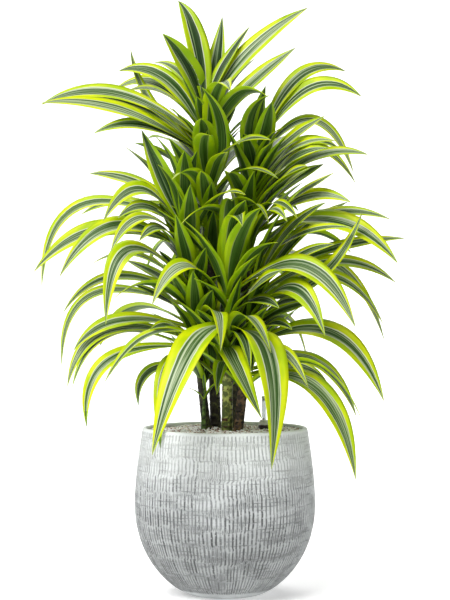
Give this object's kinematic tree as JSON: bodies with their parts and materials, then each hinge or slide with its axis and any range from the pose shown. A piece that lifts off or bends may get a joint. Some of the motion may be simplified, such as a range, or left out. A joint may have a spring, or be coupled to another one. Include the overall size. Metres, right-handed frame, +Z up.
{
  "type": "potted dracaena",
  "caption": "Leafy striped dracaena on upright canes, growing in granulate in a round ribbed planter with a water gauge.",
  "frame": {"origin": "centre of the planter's flat foot, on the floor", "axes": "+Z up along the planter's axis; -Y towards the side the plant is seen from"},
  "size_m": [0.7139, 0.5562, 1.155],
  "materials": {
    "pot": "matte grey wash over a pale body with upright ribs and cross scratches",
    "granulate": "loose grains, pale grey, beige and brown",
    "plant": "living plant: satin green leaves with lime margins on ringed canes",
    "gauge_body": "translucent pale grey, satin",
    "gauge_clear": "clear",
    "gauge_cap": "satin",
    "gauge_red": "satin"
  },
  "bodies": {
    "planter": {"planter": "pot", "granulate": "granulate", "cane_tall": "plant", "cane_right": "plant", "cane_left": "plant", "cane_front": "plant", "cane_low": "plant", "side_shoot": "plant", "gauge_sleeve": "gauge_body", "gauge_tube": "gauge_clear", "gauge_cap": "gauge_cap"},
    "float": {"gauge_float": "gauge_red"}
  },
  "joints": [
    {"name": "float_rise", "type": "slide", "parent": "planter", "child": "float", "axis": [0, 0, 1], "range_m": [0, 0.03]}
  ]
}
